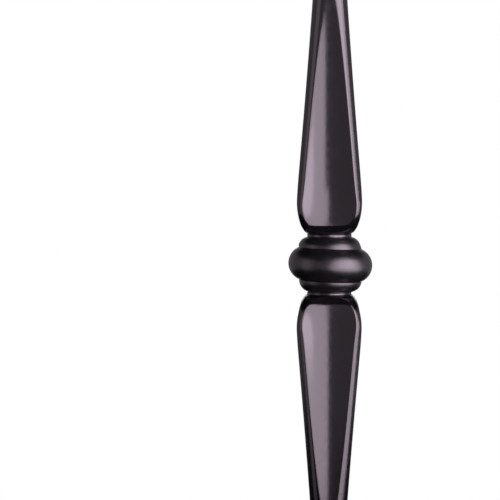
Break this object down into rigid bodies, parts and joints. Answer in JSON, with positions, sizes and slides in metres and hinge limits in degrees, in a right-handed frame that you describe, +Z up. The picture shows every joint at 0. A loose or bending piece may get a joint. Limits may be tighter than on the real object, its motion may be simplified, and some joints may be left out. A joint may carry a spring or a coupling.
{
  "type": "single knuckle baluster",
  "caption": "Slim round steel stair baluster with a turned knuckle between two fluted flares, in satin black powder coat.",
  "frame": {"origin": "centre of the bottom end face of the bar", "axes": "+Z up along the bar towards its top end; -Y square out of the front flute of each flare"},
  "size_m": [0.0352, 0.0352, 1.1176],
  "materials": {
    "powder_coat": "satin black powder coat with a fine orange-peel texture"
  },
  "bodies": {
    "root": {"baluster": "powder_coat"}
  },
  "joints": []
}
